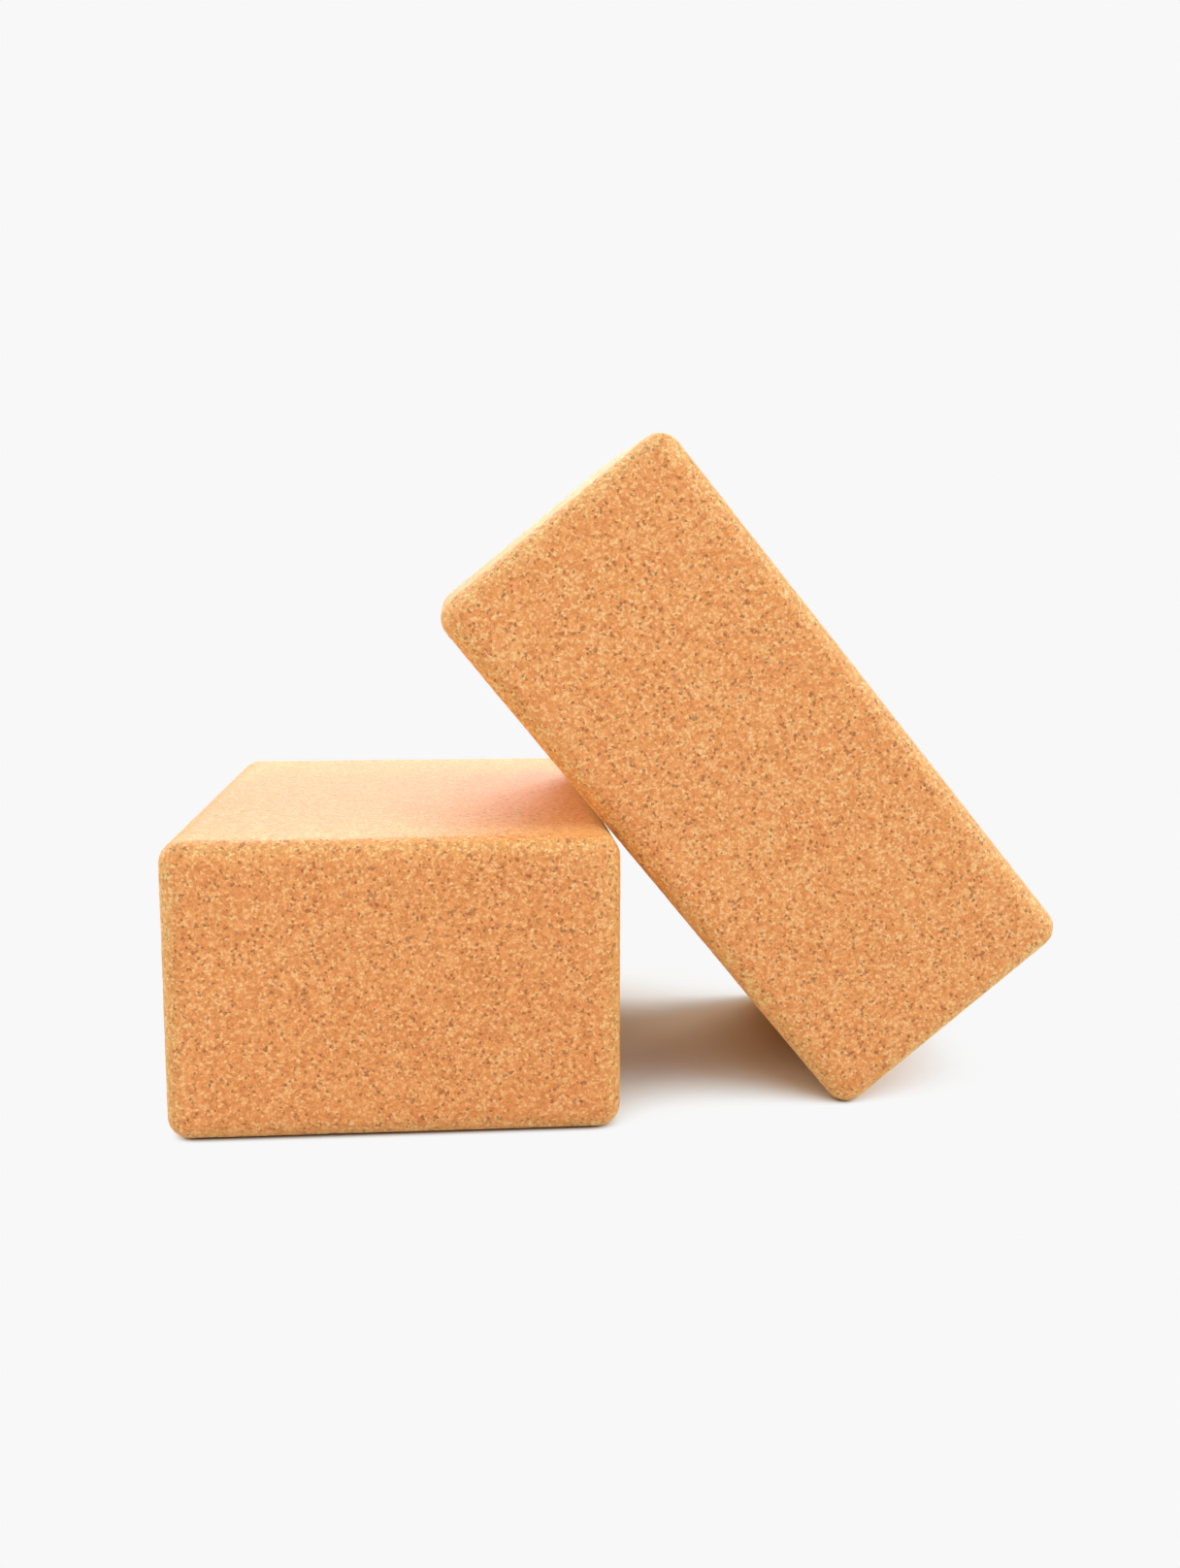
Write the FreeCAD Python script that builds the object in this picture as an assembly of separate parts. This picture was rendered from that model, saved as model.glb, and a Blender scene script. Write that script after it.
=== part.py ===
# A pair of cork yoga blocks: one lies flat, and the other leans on its upper right edge.
# Millimetres, +Z up. The origin is the centre of the face that the flat block rests on,
# +X points to the side that the second block leans on, and +Y runs back along the flat block.
import FreeCAD
import Part
import math
import os

# Driving dimensions of one block, the same for both
BLOCK_LENGTH = 228.6
BLOCK_WIDTH = 152.4
BLOCK_HEIGHT = 101.6
EDGE_RADIUS = 8.0

# How the second block leans on the first
LEAN_ANGLE_DEG = 50.7
LEAN_SETBACK = 18.0
LEAN_CLEARANCE = 0.3

ORIGIN = FreeCAD.Vector()
Y_AXIS = FreeCAD.Vector(0, 1, 0)
Z_AXIS = FreeCAD.Vector(0, 0, 1)
QUARTER_TURN_DEG = 90


def cork_block():
    """One block about the origin: length along X, width along Y, height along Z, all edges rounded over."""
    corner = FreeCAD.Vector(-BLOCK_LENGTH / 2, -BLOCK_WIDTH / 2, -BLOCK_HEIGHT / 2)
    billet = Part.makeBox(BLOCK_LENGTH, BLOCK_WIDTH, BLOCK_HEIGHT, corner)
    return billet.makeFillet(EDGE_RADIUS, billet.Edges)


def flat_block():
    """The block that lies on its broad face, with its end towards the viewer."""
    block = cork_block()
    block.rotate(ORIGIN, Z_AXIS, QUARTER_TURN_DEG)
    block.translate(Z_AXIS * (BLOCK_HEIGHT / 2))
    return block


def leaning_centre():
    """Where the leaning block's centre lies when it touches both the floor and the flat block.

    The foot is the round edge at the low end of the under side, and it touches the floor.
    The under side is a plane, and it touches the flat block's round upper right edge.
    """
    slope = math.radians(LEAN_ANGLE_DEG)
    foot_along = BLOCK_LENGTH / 2 - EDGE_RADIUS
    foot_below = BLOCK_HEIGHT / 2 - EDGE_RADIUS
    height = EDGE_RADIUS + foot_along * math.sin(slope) + foot_below * math.cos(slope)

    edge_x = BLOCK_WIDTH / 2 - EDGE_RADIUS
    edge_z = BLOCK_HEIGHT - EDGE_RADIUS
    reach = BLOCK_HEIGHT / 2 + EDGE_RADIUS + LEAN_CLEARANCE
    across = edge_x + (reach - (height - edge_z) * math.cos(slope)) / math.sin(slope)

    back = -BLOCK_LENGTH / 2 + LEAN_SETBACK + BLOCK_WIDTH / 2
    return FreeCAD.Vector(across, back, height)


def leaning_block():
    """The block that stands on one edge of its end and leans back over the flat block."""
    block = cork_block()
    block.rotate(ORIGIN, Y_AXIS, LEAN_ANGLE_DEG)
    block.translate(leaning_centre())
    return block


def main():
    os.makedirs("parts", exist_ok=True)
    for name, shape in (("flat_block", flat_block()), ("leaning_block", leaning_block())):
        box = shape.BoundBox
        print(name, "volume", round(shape.Volume), "valid", shape.isValid(), "solids", len(shape.Solids))
        print("  from", [round(v, 2) for v in (box.XMin, box.YMin, box.ZMin)])
        print("  to", [round(v, 2) for v in (box.XMax, box.YMax, box.ZMax)])
        shape.exportStep(os.path.join("parts", name + ".step"))
    gap = flat_block().distToShape(leaning_block())[0]
    print("gap where the blocks touch", round(gap, 3))


main()
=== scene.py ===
# %% [markdown]
# A pair of yoga blocks pressed from cork granules. One lies flat and the other leans on its edge.
# The CAD model gives the size and the place of both. This lesson dresses them: it models each
# block again with the fine unevenness of sanded cork, and mixes one cork finish for both.

# %% Load the frame
import math

import bpy
from mathutils import Color, Matrix, Vector


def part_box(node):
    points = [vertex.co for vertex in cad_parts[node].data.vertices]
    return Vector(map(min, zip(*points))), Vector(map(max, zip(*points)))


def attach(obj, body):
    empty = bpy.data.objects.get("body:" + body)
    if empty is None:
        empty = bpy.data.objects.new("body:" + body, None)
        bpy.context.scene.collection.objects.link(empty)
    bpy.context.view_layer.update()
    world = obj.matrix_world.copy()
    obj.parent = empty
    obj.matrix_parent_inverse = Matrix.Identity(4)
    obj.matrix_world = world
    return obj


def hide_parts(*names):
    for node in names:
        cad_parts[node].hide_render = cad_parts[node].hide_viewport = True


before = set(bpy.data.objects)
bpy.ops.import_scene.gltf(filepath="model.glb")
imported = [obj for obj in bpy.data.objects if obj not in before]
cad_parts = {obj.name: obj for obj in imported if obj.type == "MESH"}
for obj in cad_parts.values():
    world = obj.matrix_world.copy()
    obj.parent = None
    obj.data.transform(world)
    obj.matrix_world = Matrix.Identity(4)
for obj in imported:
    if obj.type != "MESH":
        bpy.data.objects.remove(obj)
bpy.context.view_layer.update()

scene = bpy.context.scene
scene.view_settings.view_transform = "Standard"

# %% [markdown]
# Sizes could be typed in again here, but then they could drift from the CAD model. So they are
# read from the CAD solids: the block's three sizes from its box, the radius of its edges from
# the flat that is left on its resting face, and the lean from the direction of a broad face.

# %% Read the sizes
MILLIMETRE = 0.001
SAME_LEVEL = 0.01 * MILLIMETRE

flat_low, flat_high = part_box("flat_block")
BLOCK_SIZE = flat_high - flat_low
FLAT_CENTRE = (flat_low + flat_high) / 2
flat_points = [vertex.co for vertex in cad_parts["flat_block"].data.vertices]
resting_points = [point for point in flat_points if point.z < flat_low.z + SAME_LEVEL]
EDGE_RADIUS = flat_high.x - max(point.x for point in resting_points)

lean_low, lean_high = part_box("leaning_block")
LEAN_CENTRE = (lean_low + lean_high) / 2
broad_face = max(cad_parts["leaning_block"].data.polygons, key=lambda face: face.area)
LEAN_ANGLE = math.atan2(abs(broad_face.normal.x), abs(broad_face.normal.z))
print("block", tuple(BLOCK_SIZE), "edge radius", EDGE_RADIUS, "lean", math.degrees(LEAN_ANGLE))

# %% [markdown]
# The camera comes first, so that every later step can be judged in the picture. It stands low in
# front of the blocks, a little to the right of the flat one's middle, and looks slightly down.
# A long lens from far away would flatten the flat block's top, so the distance matters as much
# as the direction: here it is about two thirds of a metre.

# %% Place the camera
PHOTO_HEIGHT_PIXELS = 1616
FOCAL_PIXELS = 1624
CAMERA_PLACE = Vector((0.0204, -0.6242, 0.1891))
CAMERA_TURN = math.radians(5.01)
CAMERA_DIP = math.radians(7.77)
LEVEL_VIEW = math.radians(90)

bpy.ops.object.camera_add(
    location=CAMERA_PLACE,
    rotation=(LEVEL_VIEW - CAMERA_DIP, 0, -CAMERA_TURN),
)
camera = bpy.context.object
camera.data.sensor_fit = "VERTICAL"
camera.data.lens = FOCAL_PIXELS * camera.data.sensor_height / PHOTO_HEIGHT_PIXELS
scene.camera = camera
print("lens", camera.data.lens)

# %% [markdown]
# Materials here are built from nodes. Wiring nodes by hand takes many lines, so one small class
# holds an output socket and lets plain sums and products add the Math nodes, and one function
# adds any other node: its settings first, then the values or links of its sockets. A Mix node has
# a set of sockets for each kind of data under the same names, so those for colours are numbered.

# %% Helpers for node trees
MIX_SHARE = 0
MIX_UNDER = 6
MIX_OVER = 7
MIX_RESULT = 2


class Wire:
    """One output socket. Arithmetic on it adds Math nodes to its tree."""

    def __init__(self, socket):
        self.socket = socket
        self.tree = socket.id_data

    def math(self, operation, first, second):
        return add_node(self.tree, "ShaderNodeMath", {"operation": operation}, {0: first, 1: second})

    def __add__(self, other):
        return self.math("ADD", self, other)

    def __radd__(self, other):
        return self.math("ADD", other, self)

    def __sub__(self, other):
        return self.math("SUBTRACT", self, other)

    def __rsub__(self, other):
        return self.math("SUBTRACT", other, self)

    def __mul__(self, other):
        return self.math("MULTIPLY", self, other)

    def __rmul__(self, other):
        return self.math("MULTIPLY", other, self)

    def larger(self, other):
        return self.math("MAXIMUM", self, other)


def add_node(tree, kind, settings, sockets, output=0):
    """Adds one node and returns one of its outputs as a Wire, if it has any."""
    made = tree.nodes.new(kind)
    for name, value in settings.items():
        if name == "stops":
            set_stops(made.color_ramp, value)
        else:
            setattr(made, name, value)
    for name, value in sockets.items():
        if isinstance(value, Wire):
            tree.links.new(value.socket, made.inputs[name])
        else:
            made.inputs[name].default_value = value
    return Wire(made.outputs[output]) if made.outputs else None


def set_stops(ramp, stops):
    """Gives a colour ramp its stops, each a place from 0 to 1 and a colour."""
    while len(ramp.elements) < len(stops):
        ramp.elements.new(1.0)
    for element, (place, colour) in zip(ramp.elements, stops):
        element.position = place
        element.color = colour


def empty_tree(owner):
    """Switches a material or world to nodes and clears what Blender puts there."""
    owner.use_nodes = True
    owner.node_tree.nodes.clear()
    return owner.node_tree


def rise(value, start, end):
    """0 below the start, 1 past the end, and a straight rise between."""
    sockets = {"Value": value, "From Min": start, "From Max": end}
    return add_node(value.tree, "ShaderNodeMapRange", {}, sockets)


def blend_in(share, under, over, way="MIX"):
    """Lays one colour over another by a share, or tints it."""
    settings = {"data_type": "RGBA", "blend_type": way}
    sockets = {MIX_SHARE: share, MIX_UNDER: under, MIX_OVER: over}
    return add_node(share.tree, "ShaderNodeMix", settings, sockets, MIX_RESULT)


# %% [markdown]
# The blocks stand on a white studio floor with no visible end. A curved backdrop would do it, but
# a very large plane that ends in a sky of its own tone is simpler. The sky is there to be looked
# at, by the camera and in reflections, and lights nothing. In the photograph the floor is so
# bright that only the deepest shade is left on it. So the open floor shines in the background's
# tone, and it shows as a plain lit surface only where the blocks close it in, which an Ambient
# Occlusion node measures. It looks around in a dome, and the dome leans to the front and a little
# to the right, because light reaches further under the leaning block from there. The shade is
# brown, so there the camera sees a darker, browner paint than the one that lights the blocks from
# below: painted shade on top of the shade that the lamps cast.

# %% Floor and sky
BACKGROUND_TONE = 0.939
FLOOR_SIZE = 60.0
FLOOR_COLOUR = (0.90, 0.87, 0.80, 1)
# The darker, browner paint that the camera sees in the floor's shade: painted shade.
PAINTED_SHADE_COLOUR = (0.75, 0.71, 0.49, 1)
WHITE = (1, 1, 1, 1)
SHADE_REACH = 0.30
DOME_AXIS = Vector((0.09, -0.17, 0.98)).normalized()
CLOSED_IN = 0.13
OPEN_AGAIN = 0.46


def seen_directly(tree):
    """1 for rays from the camera, a reflection or a clear body, and 0 for rays that carry light."""
    camera_ray = add_node(tree, "ShaderNodeLightPath", {}, {}, "Is Camera Ray")
    glossy_ray = add_node(tree, "ShaderNodeLightPath", {}, {}, "Is Glossy Ray")
    clear_ray = add_node(tree, "ShaderNodeLightPath", {}, {}, "Is Transmission Ray")
    return camera_ray + glossy_ray + clear_ray


bpy.ops.mesh.primitive_plane_add(size=FLOOR_SIZE, location=(0, 0, 0))
floor = bpy.context.object
floor.name = "studio_floor"

floor_paint = bpy.data.materials.new("white_floor")
tree = empty_tree(floor_paint)
seen = seen_directly(tree)
# The camera sees the darker paint, which shows only where the floor is closed in: painted shade.
paint_with_painted_shade = blend_in(seen, FLOOR_COLOUR, PAINTED_SHADE_COLOUR)
paint = add_node(tree, "ShaderNodeBsdfDiffuse", {}, {"Color": paint_with_painted_shade})
glow = add_node(tree, "ShaderNodeEmission", {}, {"Color": WHITE, "Strength": BACKGROUND_TONE})
dome = add_node(tree, "ShaderNodeCombineXYZ", {}, dict(zip("XYZ", DOME_AXIS)))
dome_sockets = {"Distance": SHADE_REACH, "Normal": dome}
open_share = add_node(tree, "ShaderNodeAmbientOcclusion", {}, dome_sockets, "AO")
glow_share = seen * rise(open_share, CLOSED_IN, OPEN_AGAIN)
floor_surface = add_node(tree, "ShaderNodeMixShader", {}, {0: glow_share, 1: paint, 2: glow})
add_node(tree, "ShaderNodeOutputMaterial", {}, {"Surface": floor_surface})
floor.data.materials.append(floor_paint)

scene.world = bpy.data.worlds.new("studio_sky")
tree = empty_tree(scene.world)
sky_strength = seen_directly(tree) * BACKGROUND_TONE
sky = add_node(tree, "ShaderNodeBackground", {}, {"Color": WHITE, "Strength": sky_strength})
add_node(tree, "ShaderNodeOutputWorld", {}, {"Surface": sky})
print("floor", FLOOR_SIZE, "m wide, background tone", BACKGROUND_TONE)

# %% [markdown]
# In the photograph light comes from all round: the shade under the leaning block is soft, the
# rounded edges are paler than the faces beside them, and the flat block's top, seen at a grazing
# angle, mirrors the light from behind it. Two soft boxes high in front catch the edges, one behind
# gives the top its shine, and the rest fill in from above and from the sides. A sun lamp with a
# wide disc is such a box far away, and needs no placing: it only has a tilt away from straight
# above and a heading, which is 0 for the front and 90 for the right.

# %% Lamps
LAMP_DISC = math.radians(40)
LAMPS = (
    ("overhead_lamp", 0.28, 0, 0),
    ("back_lamp", 0.45, 61, 180),
    ("back_left_lamp", 0.38, 62, -120),
    ("right_lamp", 0.42, 68, 90),
    ("front_left_lamp", 0.37, 45, -45),
    ("front_right_lamp", 0.25, 45, 45),
)

for name, level, tilt, heading in LAMPS:
    turn = (math.radians(tilt), 0, math.radians(heading))
    bpy.ops.object.light_add(type="SUN", rotation=turn)
    lamp = bpy.context.object
    lamp.name = name
    lamp.data.energy = level * math.pi
    lamp.data.angle = LAMP_DISC
    print(name, "at level", level)

# %% [markdown]
# A real block is pressed as one slab, sawn to size, and run past a round-over cutter on all its
# edges. The same steps make the blank here: a cube, scaled to the block's size, with all its
# edges bevelled to the cutter's radius. Fine relief needs an even net of small faces. Subdividing
# the bevelled cube would leave long thin ones beside the edges, so a voxel remesh lays the net.

# %% Model one blank block
CUTTER_STEPS = 10
NET_STEP = 1.27 * MILLIMETRE
ROUND_PROFILE = 0.5

bpy.ops.object.select_all(action="DESELECT")
bpy.ops.mesh.primitive_cube_add(size=1.0)
blank = bpy.context.object
blank.scale = BLOCK_SIZE
bpy.ops.object.transform_apply(location=False, rotation=False, scale=True)

bpy.ops.object.mode_set(mode="EDIT")
bpy.ops.mesh.select_all(action="SELECT")
bpy.ops.mesh.bevel(offset=EDGE_RADIUS, segments=CUTTER_STEPS, profile=ROUND_PROFILE, affect="EDGES")
bpy.ops.object.mode_set(mode="OBJECT")

net = blank.modifiers.new("even_net", "REMESH")
net.mode = "VOXEL"
net.voxel_size = NET_STEP
bpy.ops.object.modifier_apply(modifier=net.name)
print("blank", len(blank.data.vertices), "points", len(blank.data.polygons), "faces")

# %% [markdown]
# In light the round edges look paler and less orange than the pressed faces, and the finish
# paints that on them as a tint: a painted highlight. The finish has to know where they are. It
# can't tell from the mesh alone, but on the blank it is plain arithmetic: where two coordinates
# lie past the flats, the point is on a rounding. Each point gets a number from 0 where a flat ends
# to 1 halfway round.

# %% Mark the rounded edges for the painted highlight
def past_flat(point):
    """How far a point lies past the end of the flats along each axis, smallest first."""
    flats = BLOCK_SIZE / 2 - Vector((EDGE_RADIUS, EDGE_RADIUS, EDGE_RADIUS))
    return sorted(max(abs(place) - flat, 0.0) for place, flat in zip(point, flats))


rim_highlight_shares = []
for vertex in blank.data.vertices:
    middle, largest = past_flat(vertex.co)[1:]
    rim_highlight_shares.append(middle / largest)
# These shares set how strongly the rounded edges get the painted highlight.
rim_highlight_layer = blank.data.attributes.new("cut_edge", "FLOAT", "POINT")
rim_highlight_layer.data.foreach_set("value", rim_highlight_shares)
print("share of points on cut edges", sum(share > 0 for share in rim_highlight_shares) / len(rim_highlight_shares))

# %% [markdown]
# Both blocks are copies of that blank, each with its own mesh. The flat one is only lifted onto
# the floor. The leaning one is turned a quarter so that its length lies across, tipped down to
# the right by the lean that was read from the CAD solid, and moved to its centre.

# %% Place the two blocks
QUARTER_TURN = math.radians(90)


def place_block(name, turn, centre):
    """A copy of the blank, turned and moved, with its place kept in its mesh."""
    bpy.ops.object.select_all(action="DESELECT")
    blank.select_set(True)
    bpy.context.view_layer.objects.active = blank
    bpy.ops.object.duplicate()
    block = bpy.context.object
    block.name = name
    block.data.name = name
    block.data.transform(Matrix.Translation(centre) @ turn)
    return block


lie_across = Matrix.Rotation(-QUARTER_TURN, 4, "Z")
tip_down = Matrix.Rotation(LEAN_ANGLE, 4, "Y")
flat_cork = place_block("flat_cork", Matrix.Identity(4), FLAT_CENTRE)
leaning_cork = place_block("leaning_cork", tip_down @ lie_across, LEAN_CENTRE)
bpy.data.objects.remove(blank)
bpy.context.view_layer.update()
for block in (flat_cork, leaning_cork):
    print(block.name, "box in mm", [round(size / MILLIMETRE, 2) for size in block.dimensions])

# %% [markdown]
# Sanded cork is never quite flat. The sander leaves broad shallow waves, single granules stand a
# hair proud or low, and here and there one has torn out and left a pit. Each of these is a
# texture for a Displace modifier that only presses inwards, so no block outgrows its CAD solid.
# The textures lie in space, and as the blocks lie apart, no two pits are the same on both.

# %% Press the relief of sanded cork into the faces
WAVE_SPACING = 34 * MILLIMETRE
WAVE_DEPTH = 0.18 * MILLIMETRE
GRAIN_SPACING = 3.2 * MILLIMETRE
GRAIN_DEPTH = 0.16 * MILLIMETRE
PIT_SPACING = 11 * MILLIMETRE
PIT_DEPTH = 0.55 * MILLIMETRE
PIT_WIDTH_SHARE = 0.16
BLACK = (0, 0, 0, 1)


def relief_pattern(name, kind, spacing, white_from=1.0):
    """A texture for pressing: black at its lowest places, white from the given share upwards."""
    pattern = bpy.data.textures.new(name, kind)
    pattern.noise_scale = spacing
    pattern.use_color_ramp = True
    set_stops(pattern.color_ramp, ((0.0, BLACK), (white_from, WHITE)))
    return pattern


def press_in(block, pattern, depth):
    """Presses a pattern into a block: black goes in by the full depth, white stays."""
    press = block.modifiers.new(pattern.name, "DISPLACE")
    press.texture = pattern
    press.texture_coords = "LOCAL"
    press.direction = "NORMAL"
    press.mid_level = 1.0
    press.strength = depth
    bpy.context.view_layer.objects.active = block
    bpy.ops.object.modifier_apply(modifier=press.name)


sander_waves = relief_pattern("sander_waves", "CLOUDS", WAVE_SPACING)
proud_grains = relief_pattern("proud_grains", "VORONOI", GRAIN_SPACING)
torn_pits = relief_pattern("torn_pits", "VORONOI", PIT_SPACING, PIT_WIDTH_SHARE)

for block in (flat_cork, leaning_cork):
    smooth = [vertex.co.copy() for vertex in block.data.vertices]
    press_in(block, sander_waves, WAVE_DEPTH)
    press_in(block, proud_grains, GRAIN_DEPTH)
    press_in(block, torn_pits, PIT_DEPTH)
    depths = [(vertex.co - start).length for vertex, start in zip(block.data.vertices, smooth)]
    depth_layer = block.data.attributes.new("pit_depth", "FLOAT", "POINT")
    depth_layer.data.foreach_set("value", [depth / PIT_DEPTH for depth in depths])
    block.data.shade_smooth()
    deepest = round(max(depths) / MILLIMETRE, 2)
    print(block.name, "deepest", deepest, "mm, faces", len(block.data.polygons))

# %% [markdown]
# The leaning block is made a shade paler than the flat one. Two finishes would show that, but one
# that reads a number from the mesh is less to keep. So each block carries its tone at all its
# points.

# %% Tone of each block
FLAT_TONE = 0.0
LEANING_TONE = 0.06

for block, paleness in ((flat_cork, FLAT_TONE), (leaning_cork, LEANING_TONE)):
    paleness_layer = block.data.attributes.new("batch_tone", "FLOAT", "POINT")
    paleness_layer.data.foreach_set("value", [paleness] * len(block.data.vertices))
    print(block.name, "is paler by", paleness)

# %% [markdown]
# Pressed cork has few colours: tan for most granules, honey and straw for pale ones, russet where
# the heat of the press has darkened them, and the brown of bark in the specks between. They are
# written here as on a paint card, and turned into the linear numbers that shaders use.

# %% Colours of cork
FULL_TONE = 255


def written(red, green, blue):
    """A colour written from 0 to 255, as linear numbers."""
    card_colour = Color((red / FULL_TONE, green / FULL_TONE, blue / FULL_TONE))
    return (*card_colour.from_srgb_to_scene_linear(), 1)


BARK = written(129, 66, 28)
RUSSET = written(212, 128, 66)
TAN = written(238, 154, 84)
HONEY = written(251, 170, 99)
STRAW = written(255, 214, 150)
print("tan in linear numbers", [round(share, 3) for share in TAN])

# %% [markdown]
# Each granule was cut through by the saw and has a tone of its own. A Voronoi texture gives cells
# with a random colour each, which is just that. Its cells have straight walls, so a little noise
# bends the space that it reads. Finer cells are the crumbs that fill the gaps, and two more sets
# choose where pale chips and the specks and flecks of bark are.

# %% Granules
GRANULE_SIZE = 1.15 * MILLIMETRE
CRUMB_SIZE = 0.6 * MILLIMETRE
SPECK_SIZE = 0.85 * MILLIMETRE
FLECK_SIZE = 1.4 * MILLIMETRE
BEND_SIZE = 0.9 * MILLIMETRE
BEND_REACH = 0.8 * MILLIMETRE
NOISE_DETAIL = 2.0
MIDDLE = 0.5

cork = bpy.data.materials.new("pressed_cork")
tree = empty_tree(cork)
place = add_node(tree, "ShaderNodeTexCoord", {}, {}, "Object")


def noise(size, output):
    """Smooth noise with lumps of about one size."""
    sockets = {"Vector": place, "Scale": 1 / size, "Detail": NOISE_DETAIL}
    return add_node(tree, "ShaderNodeTexNoise", {}, sockets, output)


def vector_math(operation, sockets):
    """One step of vector arithmetic."""
    return add_node(tree, "ShaderNodeVectorMath", {"operation": operation}, sockets)


push = vector_math("SUBTRACT", {0: noise(BEND_SIZE, "Color"), 1: (MIDDLE, MIDDLE, MIDDLE)})
push = vector_math("SCALE", {0: push, "Scale": BEND_REACH})
bent_place = vector_math("ADD", {0: place, 1: push})


def cells(size, feature="F1", output="Color"):
    """Cork granules of about one size: a random colour or a distance for each."""
    sockets = {"Vector": bent_place, "Scale": 1 / size}
    return add_node(tree, "ShaderNodeTexVoronoi", {"feature": feature}, sockets, output)


def channel(colour, name):
    """One of a colour's three numbers."""
    return add_node(tree, "ShaderNodeSeparateColor", {}, {"Color": colour}, name)


granule = cells(GRANULE_SIZE)
crumb = cells(CRUMB_SIZE)
speck = cells(SPECK_SIZE)
fleck = cells(FLECK_SIZE)
wall = cells(GRANULE_SIZE, "DISTANCE_TO_EDGE", "Distance")
print("granules of", GRANULE_SIZE / MILLIMETRE, "mm and crumbs of", CRUMB_SIZE / MILLIMETRE, "mm")

# %% [markdown]
# The tone of a place is that of its granule, its crumb and its block together, drifting a little
# over the width of a thumb. It picks a colour from a ramp. On top of that come pale chips, bark,
# the binder that darkens the walls between granules, and painted shade that darkens torn pits the
# more the deeper they are, which is why the relief left its depth on the mesh. Last, a tint takes
# some of the orange from the rounded edges: a painted highlight.

# %% Colour of the surface
MOTTLE_SIZE = 20 * MILLIMETRE
MOTTLE_SHARE = 0.05
GRANULE_SHARE = 0.55
CHIP_FROM = (0.92, 0.94)
CHIP_SHARE = 0.7
SPECK_FROM = (0.94, 0.96)
FLECK_FROM = (0.985, 0.99)
BARK_SHARE = 0.6
WALL_WIDTH = 0.12
WALL_SHARE = 0.25
# How deep a pit must be to get painted shade, and how dark that shade gets.
PIT_SHADE_FROM = (0.7, 1.3)
PIT_SHADE_SHARE = 0.4
# Tint of the painted highlight on the rounded edges.
RIM_HIGHLIGHT_TINT = (0.92, 1.10, 1.03, 1)
TONES = ((0.05, RUSSET), (0.38, TAN), (0.66, HONEY), (0.95, STRAW))


def on_mesh(name):
    """A number that the mesh carries at its points."""
    return add_node(tree, "ShaderNodeAttribute", {"attribute_name": name}, {}, "Fac")


drift = (noise(MOTTLE_SIZE, "Fac") - MIDDLE) * MOTTLE_SHARE + on_mesh("batch_tone")
tone = channel(granule, "Red") * GRANULE_SHARE + channel(crumb, "Red") * (1 - GRANULE_SHARE) + drift
colour = add_node(tree, "ShaderNodeValToRGB", {"stops": TONES}, {"Fac": tone})

is_chip = rise(channel(speck, "Red"), *CHIP_FROM)
colour = blend_in(is_chip * CHIP_SHARE, colour, STRAW)
bark_fleck = rise(channel(fleck, "Green"), *FLECK_FROM)
bark_speck = rise(channel(speck, "Green"), *SPECK_FROM)
is_bark = bark_fleck.larger(bark_speck)
colour = blend_in(is_bark * BARK_SHARE, colour, BARK)
in_wall = 1 - rise(wall, 0.0, WALL_WIDTH)
colour = blend_in(in_wall * WALL_SHARE, colour, RUSSET)
# Deeper pits are darkened towards bark: painted shade.
pit_shade = rise(on_mesh("pit_depth"), *PIT_SHADE_FROM)
colour = blend_in(pit_shade * PIT_SHADE_SHARE, colour, BARK)
# A yellower tint on the rounded edges: a painted highlight.
colour = blend_in(on_mesh("cut_edge"), colour, RIM_HIGHLIGHT_TINT, "MULTIPLY")
print("colour of cork takes", len(tree.nodes), "nodes")

# %% [markdown]
# To the finger sanded cork is dry and smooth. Each granule still stands a trace higher or lower
# than its neighbours, bark is sunk and the walls are grooves, too fine for the mesh, so a Bump
# node carries them. Cork is waxy: seen flat along its face it shines softly, so it is only half
# matt, and each granule a little more or less so. Sanding also leaves a fine nap that catches the
# light along the face. A sheen in the colour of straw stands for it.

# %% Shine and bump of the surface
BUMP_DEPTH = 0.25 * MILLIMETRE
BUMP_STRENGTH = 0.4
GRANULE_RISE = 0.5
CRUMB_RISE = 0.3
WALL_DROP = 0.5
BARK_DROP = 0.2
ROUGH_LOW = 0.48
ROUGH_SPREAD = 0.08
SHEEN_WEIGHT = 0.5
SHEEN_ROUGHNESS = 0.35
SHEEN_TINT = (0.89, 0.80, 0.27, 1)

proud = channel(granule, "Blue") * GRANULE_RISE + channel(crumb, "Blue") * CRUMB_RISE
height = proud - in_wall * WALL_DROP - is_bark * BARK_DROP
bump_sockets = {"Height": height, "Strength": BUMP_STRENGTH, "Distance": BUMP_DEPTH}
skin_sockets = {
    "Base Color": colour,
    "Roughness": ROUGH_LOW + channel(granule, "Blue") * ROUGH_SPREAD,
    "Normal": add_node(tree, "ShaderNodeBump", {}, bump_sockets),
    "Sheen Weight": SHEEN_WEIGHT,
    "Sheen Roughness": SHEEN_ROUGHNESS,
    "Sheen Tint": SHEEN_TINT,
}
skin = add_node(tree, "ShaderNodeBsdfPrincipled", {}, skin_sockets)
add_node(tree, "ShaderNodeOutputMaterial", {}, {"Surface": skin})
print("cork finish has", len(tree.nodes), "nodes")

# %% [markdown]
# Each cork block takes the place of its CAD solid, moves with that solid's body and wears the
# cork finish.

# %% Dress the frame
for block, node, body in ((flat_cork, "flat_block", "flat"), (leaning_cork, "leaning_block", "leaning")):
    block.data.materials.clear()
    block.data.materials.append(cork)
    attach(block, body)
    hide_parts(node)
    print(block.name, "replaces", node, "on body", body)
